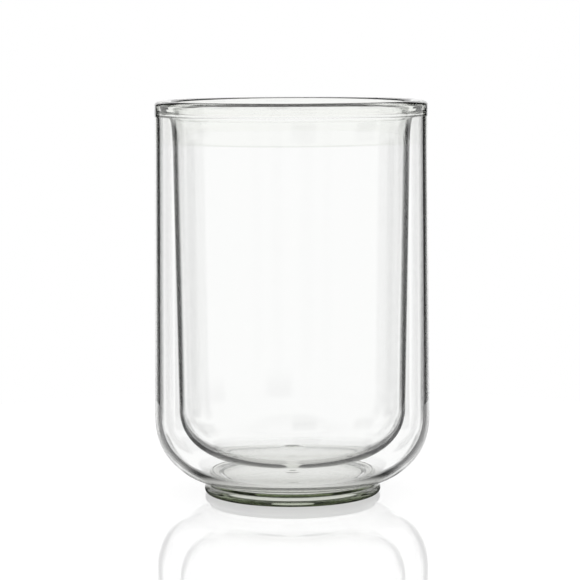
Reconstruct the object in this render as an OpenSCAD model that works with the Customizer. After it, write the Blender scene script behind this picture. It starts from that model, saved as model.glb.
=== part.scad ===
// Double walled drinking glass.
// An outer glass and an inner glass are blown apart, nested, and flame fused at the lip into
// one rounded rim, with still air between the walls. A pressed foot is fused under the outer
// glass, and a drop of glass seals the vent that let the hot air out while the rim was fused.
// The origin is on the table under the middle of the foot, and +Z points up.

/* [Overall] */
// Height from the table to the top of the rim
cup_height = 116.3; // [100:0.1:140]
// Outer diameter of the rim and of the outer glass's top
rim_diameter = 80; // [74:0.5:86]
// Outer diameter of the outer glass at its heel, above the bottom corner
belly_diameter = 81.4; // [76:0.1:88]

/* [Outer glass] */
// Wall thickness of the outer glass under the rim
outer_wall = 1.5; // [1.1:0.05:2.2]
// Wall thickness of the outer glass at its heel
outer_heel_wall = 1.8; // [1.3:0.1:2.8]
// Floor thickness of the outer glass
outer_floor = 1.9; // [1.4:0.1:3]
// Width of the outer glass's bottom corner
outer_corner_width = 23; // [18:0.5:27]
// Height of the outer glass's bottom corner
outer_corner_height = 20.5; // [16:0.5:25]

/* [Inner glass] */
// Wall thickness of the inner glass
inner_wall = 1.2; // [1:0.1:2]
// Floor thickness of the inner glass
inner_floor = 1.9; // [1.4:0.1:3]
// Width of the inner glass's bottom corner
inner_corner_width = 17; // [12:0.5:21]
// Height of the inner glass's bottom corner
inner_corner_height = 16.5; // [12:0.5:20]

/* [Air space] */
// Width of the air space where the rim starts
upper_gap = 3.6; // [2.4:0.1:4.4]
// Width of the air space at the heel of the inner glass
lower_gap = 5.25; // [3:0.05:7]
// Height of the air space between the two floors
floor_gap = 4.95; // [3:0.05:8]

/* [Rim] */
// Height of the fused rim, from the two walls' ends to its crown
rim_height = 12; // [10.5:0.1:14]
// Width of the rounded lip across its crown
lip_width = 5; // [4:0.1:5.6]
// Height of the lip's rounding
lip_rise = 1.3; // [0.8:0.1:1.9]
// Depth of the air space's top below the crown
crown_depth = 3.4; // [2.6:0.1:4.4]
// Height over which the air space's top comes down to the outer glass
arch_drop = 1.4; // [0.6:0.1:2.4]

/* [Foot] */
// Diameter of the foot across its rounded edge
foot_diameter = 52.2; // [48:0.2:57]
// Height of the outer glass's underside above the table
foot_height = 2.85; // [2.4:0.05:4]
// Radius of the hollow fillet between the foot's edge and the outer glass
foot_fillet = 0.35; // [0.2:0.05:0.8]
// Width of the flat ring that the cup stands on
land_width = 1.8; // [1:0.1:3]
// Depth of the hollow under the foot
recess_depth = 1.1; // [0.7:0.1:1.4]
// Width of the sloping side of that hollow
recess_slope = 2; // [1:0.1:4]

/* [Vent] */
// Diameter of the vent through the foot and the outer glass's floor
vent_diameter = 2.4; // [1.6:0.1:4]
// Width of the lap that the sealing drop of glass has round the vent
seal_lap = 0.8; // [0.5:0.1:1.6]
// Height of that drop below the foot's hollow
seal_drop = 0.15; // [0.1:0.05:0.6]
// Height of the sealed tip above the outer glass's floor
seal_tip = 0.1; // [0.05:0.05:0.6]

/* [Hidden] */

// Steps in which a round stretch, a curve, a bowed wall and a full turn are drawn
corner_steps = 24;
curve_steps = 12;
wall_steps = 8;
$fn = 180;

// Power of the bottom corners' curve: 1 is round, and less is fuller
corner_share = 0.91;
// How far across the air space its top stands, from the inner glass
arch_share = 0.52;

clear_glass = [0.90, 0.95, 0.94, 0.35];
rim_glass = [0.82, 0.90, 0.86, 0.45];
foot_glass = [0.80, 0.88, 0.82, 0.45];

// Shared places, worked out from the sizes above
rim_r = rim_diameter / 2;
weld_z = cup_height - rim_height;
outer_bore_r = rim_r - outer_wall;
outer_floor_top = foot_height + outer_floor;
inner_bottom = outer_floor_top + floor_gap;
inner_top_r = outer_bore_r - upper_gap;
foot_r = foot_diameter / 2;
foot_edge_r = (foot_height - foot_fillet) / 2;
foot_neck_r = foot_r - foot_edge_r - foot_fillet;
vent_r = vent_diameter / 2;
seal_r = vent_r + seal_lap;

// The outer glass's top and heel, and the angle round its corner that the foot's neck reaches
outer_top = [rim_r, weld_z];
outer_heel = [belly_diameter / 2, foot_height + outer_corner_height];
corner_x = outer_heel.x - outer_corner_width;
foot_reach_share = max(foot_neck_r - corner_x, 0) / outer_corner_width;
foot_weld_angle = acos(pow(foot_reach_share, 1 / corner_share));

// The inner glass's top and heel
inner_top = [inner_top_r, weld_z];
inner_heel = [outer_heel.x - outer_heel_wall - lower_gap, inner_bottom + inner_corner_height];

function reversed(points) = [for (i = [len(points) - 1:-1:0]) points[i]];

// Points of a round stretch after its start, up to its end, as wide and high as is given
function arc(x, z, wide, high, from, to, steps) = [
    for (i = [1:steps])
        let (angle = from + (to - from) * i / steps)
        [x + wide * cos(angle), z + high * sin(angle)]
];

// Points of an S-shaped stretch after its start, up to its end: upright at its start, and
// running in by a lean at its end
function swing(from, to, lean, steps) = [
    for (i = [1:steps])
        let (share = i / steps, eased = pow(share, 2) * (3 - 2 * share))
        let (drift = lean * (from.y - to.y) * pow(share, 2) * (share - 1))
        [from.x + (to.x - from.x) * eased + drift, from.y + (to.y - from.y) * share]
];

// Points of an S-shaped stretch after its start, up to its end, level at both ends
function slope(from, to, steps) = [
    for (i = [1:steps])
        let (share = i / steps)
        [from.x + (to.x - from.x) * share, from.y + (to.y - from.y) * (1 - cos(180 * share)) / 2]
];

// Points of a wall's face from its top to its heel, bowed out in between
function wall_run(top, heel, bow, steps) = [
    for (i = [0:steps])
        let (share = i / steps)
        top + (heel - top) * share + [bow * share * (1 - share), 0]
];

// How far such a face runs out for its fall at the heel
function heel_lean(top, heel, bow) = (heel.x - top.x - bow) / (top.y - heel.y);

// Points of a full bottom corner after its start, up to its end, with the wall's lean kept on
function corner(heel, lean, wide, high, from, to, steps) = [
    for (i = [1:steps])
        let (angle = from + (to - from) * i / steps)
        let (fall = high * pow(sin(angle), corner_share))
        [heel.x - wide * (1 - pow(cos(angle), corner_share)) + lean * fall, heel.y - fall]
];

// Points of a drop's round face from its edge to its tip
function drop_face(edge_r, edge_z, height) =
    let (ball = (pow(edge_r, 2) + pow(height, 2)) / (2 * abs(height)))
    let (side = sign(height), reach = asin(edge_r / ball))
    [
        for (i = [0:curve_steps])
            let (angle = reach * (1 - i / curve_steps))
            [ball * sin(angle), edge_z + height - side * ball * (1 - cos(angle))]
    ];

// The outer glass's corner between two angles
function outer_corner(from, to, steps) = corner(
    outer_heel, heel_lean(outer_top, outer_heel, 0), outer_corner_width, outer_corner_height, from, to, steps
);

// The round stretch of the outer glass's outside that the foot is fused to, after the neck's
// edge. A narrow foot sits on the flat floor alone.
function foot_weld() = foot_neck_r > corner_x ? outer_corner(foot_weld_angle, 90, curve_steps) : [];
function foot_neck_edge() = foot_neck_r > corner_x ? outer_corner(0, foot_weld_angle, 1) : [];

// The inside of the outer glass, whose wall thickens towards the heel
function outer_bore() =
    let (top = [outer_bore_r, weld_z], heel = outer_heel - [outer_heel_wall, 0])
    let (bow = outer_heel_wall - outer_wall)
    let (wide = outer_corner_width - outer_heel_wall, high = outer_corner_height - outer_floor)
    concat(
        wall_run(top, heel, bow, wall_steps),
        corner(heel, heel_lean(top, heel, bow), wide, high, 0, 90, corner_steps)
    );

// One face of the inner glass, taken in by a wall and a floor thickness
function inner_face(wall, rise) =
    let (top = inner_top - [wall, 0], heel = inner_heel - [wall, 0])
    let (wide = inner_corner_width - wall, high = inner_corner_height - rise)
    concat([top, heel], corner(heel, heel_lean(top, heel, 0), wide, high, 0, 90, corner_steps));

module lathe(outline) {
    rotate_extrude() polygon(outline);
}

module outer_glass() {
    color(clear_glass) lathe(concat(
        [outer_top, outer_heel],
        outer_corner(0, foot_weld_angle, corner_steps),
        foot_weld(),
        [[vent_r, foot_height], [vent_r, outer_floor_top]],
        reversed(outer_bore())
    ));
}

module inner_glass() {
    color(clear_glass) lathe(concat(
        inner_face(0, 0),
        [[0, inner_bottom], [0, inner_bottom + inner_floor]],
        reversed(inner_face(inner_wall, inner_floor))
    ));
}

// The rim: flat ends that take the two walls, an arch over the air space, a round lip and an
// inside that eases down into the inner glass
module fused_rim() {
    lip_r = lip_width / 2;
    lip_z = cup_height - lip_rise;
    mouth = [rim_r - lip_width, lip_z];
    neck = [inner_top_r - inner_wall, weld_z];
    reach = upper_gap * arch_share;
    rise = rim_height - crown_depth;
    arch_x = inner_top_r + reach;
    arch_z = weld_z + rise - arch_drop;
    color(rim_glass) lathe(concat(
        [inner_top],
        arc(arch_x, weld_z, reach, rise, 180, 90, curve_steps),
        arc(arch_x, arch_z, upper_gap - reach, arch_drop, 90, 0, curve_steps),
        [[outer_bore_r, weld_z], outer_top, [rim_r, lip_z]],
        arc(rim_r - lip_r, lip_z, lip_r, lip_rise, 0, 180, corner_steps),
        swing(mouth, neck, heel_lean(inner_top, inner_heel, 0), curve_steps)
    ));
}

// The foot: a pressed plate with a rounded edge, hollow below, standing on a flat ring
module foot() {
    edge_x = foot_r - foot_edge_r;
    land_x = edge_x - land_width;
    hollow = slope([land_x, 0], [land_x - recess_slope, recess_depth], curve_steps);
    color(foot_glass) lathe(concat(
        [[vent_r, foot_height]],
        reversed(foot_weld()),
        foot_neck_edge(),
        [[foot_neck_r, foot_height]],
        arc(edge_x, foot_height, foot_fillet, foot_fillet, 180, 270, curve_steps),
        arc(edge_x, foot_edge_r, foot_edge_r, foot_edge_r, 90, -90, corner_steps),
        [[land_x, 0]],
        hollow,
        [[vent_r, recess_depth]]
    ));
}

// The seal: a drop of glass that has run up the vent
module vent_seal() {
    color(rim_glass) lathe(concat(
        reversed(drop_face(seal_r, recess_depth, -seal_drop)),
        [[vent_r, recess_depth]],
        drop_face(vent_r, outer_floor_top, seal_tip)
    ));
}

outer_glass();
inner_glass();
fused_rim();
foot();
vent_seal();
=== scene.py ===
from math import acos, asin, cos, degrees, hypot, pi, sin

import bpy
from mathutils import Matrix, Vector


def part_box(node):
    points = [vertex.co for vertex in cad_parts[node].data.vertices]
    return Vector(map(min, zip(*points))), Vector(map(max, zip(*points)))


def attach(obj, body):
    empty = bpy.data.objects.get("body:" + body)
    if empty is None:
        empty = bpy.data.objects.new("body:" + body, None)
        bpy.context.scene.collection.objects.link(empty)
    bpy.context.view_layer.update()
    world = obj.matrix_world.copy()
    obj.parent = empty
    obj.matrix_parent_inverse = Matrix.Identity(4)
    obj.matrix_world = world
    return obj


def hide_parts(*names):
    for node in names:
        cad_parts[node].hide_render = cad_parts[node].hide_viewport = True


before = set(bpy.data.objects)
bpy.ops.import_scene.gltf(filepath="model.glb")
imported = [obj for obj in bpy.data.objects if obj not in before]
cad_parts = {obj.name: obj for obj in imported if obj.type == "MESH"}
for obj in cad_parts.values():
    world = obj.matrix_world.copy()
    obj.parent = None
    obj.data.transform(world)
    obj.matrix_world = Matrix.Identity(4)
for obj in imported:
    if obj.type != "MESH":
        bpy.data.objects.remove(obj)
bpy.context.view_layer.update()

MM = 0.001

# Sizes that the solids carry, in metres
rim_low, rim_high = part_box("fused_rim")
outer_low, outer_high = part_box("outer_glass")
inner_low, inner_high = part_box("inner_glass")
foot_low, foot_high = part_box("foot")
seal_low, seal_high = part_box("vent_seal")

CUP_HEIGHT = rim_high.z
WELD_Z = rim_low.z
RIM_R = rim_high.x
BELLY_R = outer_high.x
FOOT_HEIGHT = outer_low.z
INNER_BOTTOM = inner_low.z
INNER_TOP_R = inner_high.x
FOOT_R = foot_high.x
SEAL_R = seal_high.x

# Sizes inside the solids, as the source has them
OUTER_WALL = 1.5 * MM
OUTER_HEEL_WALL = 1.8 * MM
OUTER_FLOOR = 1.9 * MM
OUTER_CORNER_WIDTH = 23 * MM
OUTER_CORNER_HEIGHT = 20.5 * MM
INNER_WALL = 1.2 * MM
INNER_FLOOR = 1.9 * MM
INNER_CORNER_WIDTH = 17 * MM
INNER_CORNER_HEIGHT = 16.5 * MM
LOWER_GAP = 5.25 * MM
LIP_WIDTH = 5 * MM
LIP_RISE = 1.3 * MM
CROWN_DEPTH = 3.4 * MM
ARCH_DROP = 1.4 * MM
FOOT_FILLET = 0.35 * MM
LAND_WIDTH = 1.8 * MM
RECESS_DEPTH = 1.1 * MM
RECESS_SLOPE = 2 * MM
VENT_R = 1.2 * MM
CORNER_POWER = 0.91
ARCH_SHARE = 0.52

# Height of the lip's rounding at the front and at the back, and how much lower the lip is at the back
FRONT_RISE = 2.1 * MM
BACK_RISE = 0.3 * MM
BACK_SINK = 0.3 * MM

OUTER_BORE_R = RIM_R - OUTER_WALL
OUTER_FLOOR_TOP = FOOT_HEIGHT + OUTER_FLOOR
OUTER_TOP = (RIM_R, WELD_Z)
OUTER_HEEL = (BELLY_R, FOOT_HEIGHT + OUTER_CORNER_HEIGHT)
INNER_HEEL = (BELLY_R - OUTER_HEEL_WALL - LOWER_GAP, INNER_BOTTOM + INNER_CORNER_HEIGHT)
FOOT_EDGE_R = (FOOT_HEIGHT - FOOT_FILLET) / 2
FOOT_NECK_R = FOOT_R - FOOT_EDGE_R - FOOT_FILLET
FOOT_REACH = (FOOT_NECK_R - BELLY_R + OUTER_CORNER_WIDTH) / OUTER_CORNER_WIDTH
FOOT_WELD_ANGLE = acos(FOOT_REACH ** (1 / CORNER_POWER))

# How finely the glass and the studio's floor are drawn
TURN_STEPS = 240
WALL_STEPS = 24
CORNER_STEPS = 40
CURVE_STEPS = 24
FLOOR_STEPS = 8
LAND_STEPS = 4
LAP_STEPS = 2
DISC_STEPS = 96

# Points that are closer than this, in metres, count as one
SAME_POINT = 1e-9

# Material slots of a piece: its free faces, and its faces inside a weld
GLASS, WELD = 0, 1


# Outlines of the glass, in stretches of points that give the distance from the axis and the height


def shares(steps):
    return [i / steps for i in range(steps + 1)]


def line(start, end, steps):
    wide = end[0] - start[0]
    high = end[1] - start[1]
    return [(start[0] + wide * s, start[1] + high * s) for s in shares(steps)]


def arc(x, z, wide, high, start, end, steps):
    turns = [start + (end - start) * s for s in shares(steps)]
    return [(x + wide * cos(a), z + high * sin(a)) for a in turns]


def swing(start, end, lean, steps):
    """An S that is upright at its start and runs in by a lean at its end."""
    points = []
    for s in shares(steps):
        eased = s * s * (3 - 2 * s)
        drift = lean * (start[1] - end[1]) * s * s * (s - 1)
        points.append((start[0] + (end[0] - start[0]) * eased + drift, start[1] + (end[1] - start[1]) * s))
    return points


def slope(start, end, steps):
    """An S that is level at both ends."""
    return [
        (start[0] + (end[0] - start[0]) * s, start[1] + (end[1] - start[1]) * (1 - cos(pi * s)) / 2)
        for s in shares(steps)
    ]


def heel_lean(top, heel, bow):
    """How far a wall's face runs out for its fall at the heel."""
    return (heel[0] - top[0] - bow) / (top[1] - heel[1])


def corner(heel, lean, wide, high, start, end, steps):
    """A full bottom corner, with the wall's lean kept on."""
    points = []
    for s in shares(steps):
        angle = start + (end - start) * s
        fall = high * sin(angle) ** CORNER_POWER
        inward = wide * (1 - max(cos(angle), 0) ** CORNER_POWER)
        points.append((heel[0] - inward + lean * fall, heel[1] - fall))
    return points


def wall_face(top, heel, bow, wide, high):
    """A wall's face from its top, bowed out on its way to the heel, to where its floor turns flat."""
    plain = line(top, heel, WALL_STEPS)
    wall = [(x + bow * s * (1 - s), z) for s, (x, z) in zip(shares(WALL_STEPS), plain)]
    return wall[:-1] + corner(heel, heel_lean(top, heel, bow), wide, high, 0, pi / 2, CORNER_STEPS)


def drop_face(edge_r, edge_z, height):
    """A drop's round face from its edge to its tip on the axis."""
    ball = (edge_r**2 + height**2) / (2 * abs(height))
    side = 1 if height > 0 else -1
    reach = asin(edge_r / ball)
    turns = [reach * (1 - s) for s in shares(CURVE_STEPS)]
    return [(ball * sin(a), edge_z + height - side * ball * (1 - cos(a))) for a in turns]


def backwards(points):
    return points[::-1]


def outer_corner(start, end, steps):
    lean = heel_lean(OUTER_TOP, OUTER_HEEL, 0)
    return corner(OUTER_HEEL, lean, OUTER_CORNER_WIDTH, OUTER_CORNER_HEIGHT, start, end, steps)


def foot_weld():
    """The outside of the outer glass that the foot is fused to."""
    bend = outer_corner(FOOT_WELD_ANGLE, pi / 2, CURVE_STEPS)
    return bend[:-1] + line(bend[-1], (VENT_R, FOOT_HEIGHT), FLOOR_STEPS)


def outer_glass_outline():
    bore_top = (OUTER_BORE_R, WELD_Z)
    bore = wall_face(
        bore_top, (BELLY_R - OUTER_HEEL_WALL, OUTER_HEEL[1]), OUTER_HEEL_WALL - OUTER_WALL,
        OUTER_CORNER_WIDTH - OUTER_HEEL_WALL, OUTER_CORNER_HEIGHT - OUTER_FLOOR,
    )
    wall = line(OUTER_TOP, OUTER_HEEL, WALL_STEPS)
    return [
        (GLASS, wall[:-1] + outer_corner(0, FOOT_WELD_ANGLE, CORNER_STEPS)),
        (WELD, foot_weld()),
        (WELD, line((VENT_R, FOOT_HEIGHT), (VENT_R, OUTER_FLOOR_TOP), FLOOR_STEPS)),
        (GLASS, line((VENT_R, OUTER_FLOOR_TOP), bore[-1], FLOOR_STEPS)[:-1] + backwards(bore)),
        (WELD, line(bore_top, OUTER_TOP, FLOOR_STEPS)),
    ]


def inner_face(wall, rise):
    top = (INNER_TOP_R - wall, WELD_Z)
    heel = (INNER_HEEL[0] - wall, INNER_HEEL[1])
    face = wall_face(top, heel, 0, INNER_CORNER_WIDTH - wall, INNER_CORNER_HEIGHT - rise)
    return face[:-1] + line(face[-1], (0, INNER_BOTTOM + rise), FLOOR_STEPS)


def inner_glass_outline():
    """The outside and the inside of the bowl. They meet the axis at two heights, and the turning leaves
    out the outside's point there, so the underside rises in a small cone, which the solid lacks."""
    outside = inner_face(0, 0)
    inside = inner_face(INNER_WALL, INNER_FLOOR)
    return [
        (GLASS, outside),
        (GLASS, backwards(inside)),
        (WELD, line(inside[0], outside[0], FLOOR_STEPS)),
    ]


def fused_rim_outline():
    lip_r = LIP_WIDTH / 2
    lip_z = CUP_HEIGHT - LIP_RISE
    gap = OUTER_BORE_R - INNER_TOP_R
    reach = gap * ARCH_SHARE
    arch_x = INNER_TOP_R + reach
    apex_z = CUP_HEIGHT - CROWN_DEPTH
    neck = (INNER_TOP_R - INNER_WALL, WELD_Z)
    near = arc(arch_x, WELD_Z, reach, apex_z - WELD_Z, pi, pi / 2, CORNER_STEPS)
    far = arc(arch_x, apex_z - ARCH_DROP, gap - reach, ARCH_DROP, pi / 2, 0, CORNER_STEPS)
    bore = line(far[-1], (OUTER_BORE_R, WELD_Z), FLOOR_STEPS)
    outside = line(OUTER_TOP, (RIM_R, lip_z), FLOOR_STEPS)
    crown = arc(RIM_R - lip_r, lip_z, lip_r, LIP_RISE, 0, pi, CORNER_STEPS)
    mouth = swing(crown[-1], neck, heel_lean((INNER_TOP_R, WELD_Z), INNER_HEEL, 0), CURVE_STEPS)
    return [
        (WELD, line(neck, (INNER_TOP_R, WELD_Z), FLOOR_STEPS)),
        (GLASS, near[:-1] + far[:-1] + bore),
        (WELD, line((OUTER_BORE_R, WELD_Z), OUTER_TOP, FLOOR_STEPS)),
        (GLASS, outside[:-1] + crown[:-1] + mouth),
    ]


def foot_outline():
    edge_x = FOOT_R - FOOT_EDGE_R
    land_x = edge_x - LAND_WIDTH
    seat = foot_weld()
    neck = line(seat[0], (FOOT_NECK_R, FOOT_HEIGHT), LAP_STEPS)
    fillet = arc(edge_x, FOOT_HEIGHT, FOOT_FILLET, FOOT_FILLET, pi, 1.5 * pi, CURVE_STEPS)
    edge = arc(edge_x, FOOT_EDGE_R, FOOT_EDGE_R, FOOT_EDGE_R, pi / 2, -pi / 2, CORNER_STEPS)
    land = line(edge[-1], (land_x, 0), LAND_STEPS)
    hollow = slope((land_x, 0), (land_x - RECESS_SLOPE, RECESS_DEPTH), CURVE_STEPS)
    ceiling = line(hollow[-1], (SEAL_R, RECESS_DEPTH), FLOOR_STEPS)
    return [
        (WELD, backwards(seat)),
        (GLASS, neck[:-1] + fillet[:-1] + edge[:-1] + land[:-1] + hollow[:-1] + ceiling),
        (WELD, line((SEAL_R, RECESS_DEPTH), (VENT_R, RECESS_DEPTH), LAP_STEPS)),
        (WELD, line((VENT_R, RECESS_DEPTH), (VENT_R, FOOT_HEIGHT), FLOOR_STEPS)),
    ]


def vent_seal_outline():
    below = drop_face(SEAL_R, RECESS_DEPTH, seal_low.z - RECESS_DEPTH)
    above = drop_face(VENT_R, OUTER_FLOOR_TOP, seal_high.z - OUTER_FLOOR_TOP)
    bore = line((VENT_R, RECESS_DEPTH), (VENT_R, OUTER_FLOOR_TOP), FLOOR_STEPS)
    return [
        (GLASS, backwards(below)),
        (WELD, line((SEAL_R, RECESS_DEPTH), (VENT_R, RECESS_DEPTH), LAP_STEPS)),
        (WELD, bore),
        (GLASS, above),
    ]


# Turning an outline into a closed piece of glass


def straight(x, y, z):
    return x, y, z


def hand_fused(x, y, z):
    """The rim's crown, rounder at the front and flatter at the back, above the air space's top."""
    apex = CUP_HEIGHT - CROWN_DEPTH
    if z <= apex:
        return x, y, z
    lip_z = CUP_HEIGHT - LIP_RISE
    back = (1 + y / hypot(x, y)) / 2
    crest = CUP_HEIGHT - BACK_SINK * back
    rise = FRONT_RISE + (BACK_RISE - FRONT_RISE) * back
    if z > lip_z:
        return x, y, crest - (CUP_HEIGHT - z) * rise / LIP_RISE
    return x, y, apex + (z - apex) * (crest - rise - apex) / (lip_z - apex)


def runs_outwards(outline):
    """Whether the outline goes round with its glass on its left."""
    points = [p for kind, stretch in outline for p in stretch]
    pairs = zip(points, points[1:] + points[:1])
    return sum(a[0] * b[1] - b[0] * a[1] for a, b in pairs) > 0


def turned_mesh(name, outline, shape):
    """A closed mesh of revolution. The last point of each stretch is left out, because the next one
    starts there, and is kept only at the end of an outline that doesn't come back to its start."""
    points, kinds = [], []
    if runs_outwards(outline):
        outline = [(kind, backwards(stretch)) for kind, stretch in backwards(outline)]
    for kind, stretch in outline:
        points += stretch[:-1]
        kinds += [kind] * (len(stretch) - 1)
    last = outline[-1][1][-1]
    first = outline[0][1][0]
    closed = hypot(last[0] - first[0], last[1] - first[1]) < SAME_POINT
    if not closed:
        points.append(last)
    verts, rings = [], []
    for r, z in points:
        if r < SAME_POINT:
            rings.append([len(verts)] * TURN_STEPS)
            verts.append(shape(0.0, 0.0, z))
            continue
        rings.append(list(range(len(verts), len(verts) + TURN_STEPS)))
        for i in range(TURN_STEPS):
            turn = 2 * pi * i / TURN_STEPS
            verts.append(shape(r * cos(turn), r * sin(turn), z))
    faces, slots = [], []
    for k, kind in enumerate(kinds):
        here, there = rings[k], rings[(k + 1) % len(rings)]
        if here[0] == here[1] and there[0] == there[1]:
            continue
        for i in range(TURN_STEPS):
            j = (i + 1) % TURN_STEPS
            corners = [here[i], there[i], there[j], here[j]]
            faces.append(list(dict.fromkeys(corners)))
            slots.append(kind)
    mesh = bpy.data.meshes.new(name)
    mesh.from_pydata(verts, [], faces)
    mesh.polygons.foreach_set("material_index", slots)
    mesh.polygons.foreach_set("use_smooth", [True] * len(faces))
    mesh.update()
    seam_edges(mesh)
    return mesh


def seam_edges(mesh):
    """Keeps the shading of a free face apart from that of the weld beside it."""
    kinds = {}
    for face in mesh.polygons:
        for key in face.edge_keys:
            kinds.setdefault(key, set()).add(face.material_index)
    for edge in mesh.edges:
        edge.use_edge_sharp = len(kinds[edge.key]) > 1


def glass_piece(name, outline, node, glass, shape=straight):
    piece = bpy.data.objects.new(name, turned_mesh(name, outline, shape))
    bpy.context.scene.collection.objects.link(piece)
    piece.data.materials.append(glass)
    piece.data.materials.append(weld_face)
    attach(piece, "root")
    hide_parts(node)


# Shader nodes


class Wire:
    """A node's output, which Python's operators join by Math nodes."""

    def __init__(self, tree, socket):
        self.tree = tree
        self.socket = socket

    def math(self, operation, *values):
        return add_node(self.tree, "ShaderNodeMath", {"operation": operation}, sockets=values)

    def __add__(self, other):
        return self.math("ADD", self, other)

    def __radd__(self, other):
        return self.math("ADD", other, self)

    def __sub__(self, other):
        return self.math("SUBTRACT", self, other)

    def __rsub__(self, other):
        return self.math("SUBTRACT", other, self)

    def __mul__(self, other):
        return self.math("MULTIPLY", self, other)

    def __rmul__(self, other):
        return self.math("MULTIPLY", other, self)

    def __abs__(self):
        return self.math("ABSOLUTE", self)

    def __mod__(self, other):
        return self.math("FLOORED_MODULO", self, other)

    def step(self, low, high):
        """0 below low, 1 above high, eased between."""
        return add_node(
            self.tree, "ShaderNodeMapRange", {"interpolation_type": "SMOOTHSTEP"},
            Value=self, **{"From Min": low, "From Max": high},
        )


def plug(tree, socket, value):
    if isinstance(value, Wire):
        tree.links.new(value.socket, socket)
    else:
        socket.default_value = value


def add_node(tree, kind, settings=(), output=0, sockets=(), **inputs):
    """A node with its settings, then its sockets, in their order or by name."""
    node = tree.nodes.new(kind)
    for key, value in dict(settings).items():
        setattr(node, key, value)
    for socket, value in zip(node.inputs, sockets):
        plug(tree, socket, value)
    for key, value in inputs.items():
        plug(tree, node.inputs[key], value)
    return None if output is None else Wire(tree, node.outputs[output])


def mix_shader(tree, factor, first, second):
    return add_node(tree, "ShaderNodeMixShader", sockets=(factor, first, second))


def new_material(name):
    material = bpy.data.materials.new(name)
    material.use_nodes = True
    material.node_tree.nodes.clear()
    return material, material.node_tree


def finish_material(tree, **inputs):
    add_node(tree, "ShaderNodeOutputMaterial", output=None, **inputs)


# The glass

GLASS_IOR = 1.47

# The olive cast that long ways through the glass show
CAST = (0.79, 0.81, 0.75)


def glass_material(name, tint, absorbed, ripple_size, ripple_depth):
    """Clear glass with faint ripples, and with a cast that is absorbed per metre of the way through it."""
    material, tree = new_material(name)
    place = add_node(tree, "ShaderNodeTexCoord", output="Object")
    ripple = add_node(
        tree, "ShaderNodeTexNoise", Vector=place, Scale=1 / ripple_size, Detail=1.0, Roughness=0.4
    )
    bumps = add_node(tree, "ShaderNodeBump", Height=ripple, Strength=1.0, Distance=ripple_depth)
    surface = add_node(
        tree, "ShaderNodeBsdfPrincipled", Normal=bumps, Roughness=0.0, IOR=GLASS_IOR,
        **{"Base Color": (*tint, 1), "Transmission Weight": 1.0},
    )
    cast = add_node(tree, "ShaderNodeVolumeAbsorption", Color=(*CAST, 1), Density=absorbed)
    finish_material(tree, Surface=surface, Volume=cast)
    return material


def weld_material():
    """The unseen face inside a weld, where the glass has run together."""
    material, tree = new_material("glass_weld")
    surface = add_node(tree, "ShaderNodeBsdfPrincipled", Alpha=0.0)
    finish_material(tree, Surface=surface)
    return material


blown_glass = glass_material(
    "blown_glass", tint=(0.998, 0.999, 0.999), absorbed=20.0, ripple_size=14 * MM, ripple_depth=0.003 * MM
)
fused_glass = glass_material(
    "fused_glass", tint=(0.995, 0.997, 0.993), absorbed=50.0, ripple_size=9 * MM, ripple_depth=0.004 * MM
)
pressed_glass = glass_material(
    "pressed_glass", tint=(0.99, 0.995, 0.985), absorbed=200.0, ripple_size=6 * MM, ripple_depth=0.004 * MM
)
weld_face = weld_material()


# The pieces

glass_piece("outer_glass_blown", outer_glass_outline(), "outer_glass", blown_glass)
glass_piece("inner_glass_blown", inner_glass_outline(), "inner_glass", blown_glass)
glass_piece("rim_fused", fused_rim_outline(), "fused_rim", fused_glass, hand_fused)
glass_piece("foot_pressed", foot_outline(), "foot", pressed_glass)
glass_piece("vent_drop", vent_seal_outline(), "vent_seal", fused_glass)


# The white studio

# Dark flags in the white world, which the camera sees only through the glass or mirrored. Each has the
# first and last turn from +Y towards +X, and the lowest and highest angle above the horizon, in degrees.
# The first table darkens refracted rays. The second darkens mirrored ones too, because a sharply refracted
# ray also counts as glossy, and the third mirrored ones alone.
SEEN_THROUGH = (
    (-34, -19, -50, 20),
    (17.5, 34, -50, 20),
    (-40, -34, -10, 3),
    (34, 42, -10, 3),
    (-28, 28, -75, -24.5),
    (-181, 181, -90, -42),
    (-34, -14, -50, -14),
    (14, 34, -50, -14),
    (-74.5, -61.5, -12, 20),
    (61.5, 75, -12, 20),
    (-92, -66, -33, -18),
    (90, 114, -24, -12),
    (156, 180, -24, -12),
)
SEEN_THROUGH_AND_MIRRORED = (
    (-34, -19, -90, 20),
    (-76, -65.5, -12, 20),
    (65.5, 76, -12, 20),
    (17.5, 34, -90, 20),
)
MIRRORED_OVERHEAD = ((-181, 181, 20, 91),)
FLAG_GREY = 0.02

# Half the width of a flag's soft edge, in degrees
FLAG_EDGE = 1

# The floor's radius, and what it scatters and glows, so that it is white from every side
FLOOR_R = 0.2
FLOOR_IOR = 1.5
FLOOR_GREY = 0.25
FLOOR_GLOW = 0.85

# The painted shade under the foot that shows through the glass, and the wider painted shadow round the foot
# that
# the glass mirrors: the radii between which each fades, and its colour
UNDER_FOOT_SHADE_FADE = (0.026, 0.032)
UNDER_FOOT_SHADE_COLOUR = (0.74, 0.74, 0.72)
MIRRORED_SHADOW_FADE = (0.034, 0.042)
MIRRORED_SHADOW_COLOUR = (0.06, 0.06, 0.06)

# The camera that was fitted to the photograph: its lens and sensor in millimetres, its place in metres,
# and how far it looks down and leans over, in radians
LENS = 152.9
SENSOR = 36
EYE = (-0.0002, -0.7236, 0.1379)
LOOKS_DOWN = 0.107
LEANS_OVER = 0.0043

# How often a ray may pass glass, and be mirrored
GLASS_BOUNCES = 32
MIRROR_BOUNCES = 16


def flag_mask(turn, height, flags):
    """1 where the world is plain, 0 behind a flag."""
    plain = 1.0
    for first, last, lowest, highest in flags:
        middle = (first + last) / 2
        half = (last - first) / 2
        off = abs((turn - middle + 180) % 360 - 180)
        across = 1 - off.step(half - FLAG_EDGE, half + FLAG_EDGE)
        above = height.step(lowest - FLAG_EDGE, lowest + FLAG_EDGE)
        upright = above * (1 - height.step(highest - FLAG_EDGE, highest + FLAG_EDGE))
        plain = plain * (1 - across * upright)
    return plain


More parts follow.
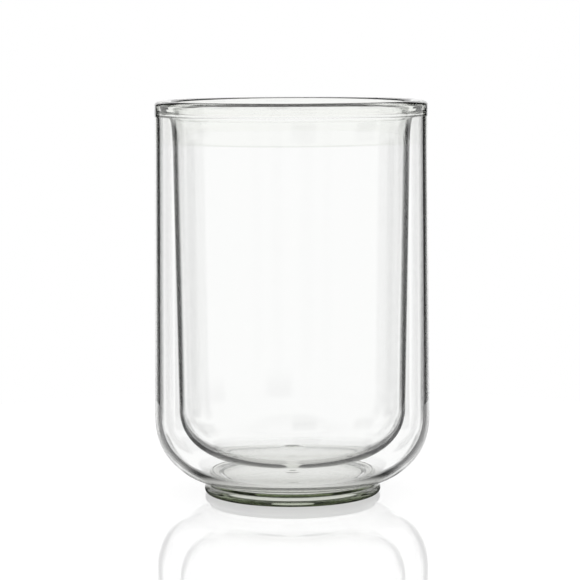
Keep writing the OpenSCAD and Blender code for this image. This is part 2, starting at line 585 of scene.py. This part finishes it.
def studio_world():
    world = bpy.data.worlds.new("studio")
    world.use_nodes = True
    tree = world.node_tree
    tree.nodes.clear()
    way = add_node(tree, "ShaderNodeTexCoord", output="Generated")
    across = add_node(tree, "ShaderNodeSeparateXYZ", output="X", Vector=way)
    along = add_node(tree, "ShaderNodeSeparateXYZ", output="Y", Vector=way)
    up = add_node(tree, "ShaderNodeSeparateXYZ", output="Z", Vector=way)
    turn = across.math("ARCTAN2", across, along) * degrees(1)
    height = up.math("ARCSINE", up) * degrees(1)
    through = add_node(tree, "ShaderNodeLightPath", output="Is Transmission Ray")
    glossy = add_node(tree, "ShaderNodeLightPath", output="Is Glossy Ray")
    shade = through * (1 - flag_mask(turn, height, SEEN_THROUGH))
    shade = shade + glossy * (1 - flag_mask(turn, height, SEEN_THROUGH_AND_MIRRORED))
    shade = shade + glossy * (1 - through) * (1 - flag_mask(turn, height, MIRRORED_OVERHEAD))
    colour = add_node(
        tree, "ShaderNodeMixRGB", Fac=shade, Color1=(1, 1, 1, 1), Color2=(FLAG_GREY, FLAG_GREY, FLAG_GREY, 1)
    )
    light = add_node(tree, "ShaderNodeBackground", Color=colour, Strength=1.0)
    add_node(tree, "ShaderNodeOutputWorld", output=None, Surface=light)
    bpy.context.scene.world = world


def floor_material():
    """A glossy white that rays through the glass pass, apart from a painted shade under the foot, and that
    the glass mirrors with a painted shadow near the foot.
    """
    material, tree = new_material("glossy_white_floor")
    gloss = add_node(tree, "ShaderNodeFresnel", IOR=FLOOR_IOR)
    white = add_node(
        tree, "ShaderNodeBsdfPrincipled", Roughness=0.02, IOR=FLOOR_IOR,
        **{
            "Base Color": (FLOOR_GREY, FLOOR_GREY, FLOOR_GREY, 1),
            "Emission Color": FLOOR_GLOW * (1 - gloss),
            "Emission Strength": 1.0,
        },
    )
    place = add_node(tree, "ShaderNodeTexCoord", output="Object")
    far = add_node(tree, "ShaderNodeVectorMath", {"operation": "LENGTH"}, output="Value", Vector=place)
    clear = add_node(tree, "ShaderNodeBsdfTransparent")
    # Painted shade under the foot: a grey glow that rays through the glass see there, in place of the shade
    under = add_node(tree, "ShaderNodeEmission", Color=(*UNDER_FOOT_SHADE_COLOUR, 1))
    beyond = mix_shader(tree, 1 - far.step(*UNDER_FOOT_SHADE_FADE), clear, under)
    through = add_node(tree, "ShaderNodeLightPath", output="Is Transmission Ray")
    glossy = add_node(tree, "ShaderNodeLightPath", output="Is Glossy Ray")
    # Painted shadow: a dark glow near the foot, which the glass mirrors in place of the shade there
    shadow = add_node(tree, "ShaderNodeEmission", Color=(*MIRRORED_SHADOW_COLOUR, 1))
    white = mix_shader(tree, glossy * (1 - far.step(*MIRRORED_SHADOW_FADE)), white, shadow)
    finish_material(tree, Surface=mix_shader(tree, through, white, beyond))
    return material


def floor_disc():
    turns = [2 * pi * i / DISC_STEPS for i in range(DISC_STEPS)]
    ring = [(FLOOR_R * cos(a), FLOOR_R * sin(a), 0) for a in turns]
    mesh = bpy.data.meshes.new("floor")
    mesh.from_pydata(ring, [], [list(range(DISC_STEPS))])
    mesh.materials.append(floor_material())
    floor = bpy.data.objects.new("floor", mesh)
    bpy.context.scene.collection.objects.link(floor)


def camera():
    data = bpy.data.cameras.new("camera")
    data.lens = LENS
    data.sensor_width = SENSOR
    eye = bpy.data.objects.new("camera", data)
    bpy.context.scene.collection.objects.link(eye)
    eye.location = EYE
    eye.rotation_euler = (pi / 2 - LOOKS_DOWN, LEANS_OVER, 0)
    bpy.context.scene.camera = eye


studio_world()
floor_disc()
camera()

scene = bpy.context.scene
scene.view_settings.view_transform = "Standard"
scene.cycles.max_bounces = GLASS_BOUNCES
scene.cycles.transmission_bounces = GLASS_BOUNCES
scene.cycles.glossy_bounces = MIRROR_BOUNCES
scene.cycles.transparent_max_bounces = GLASS_BOUNCES
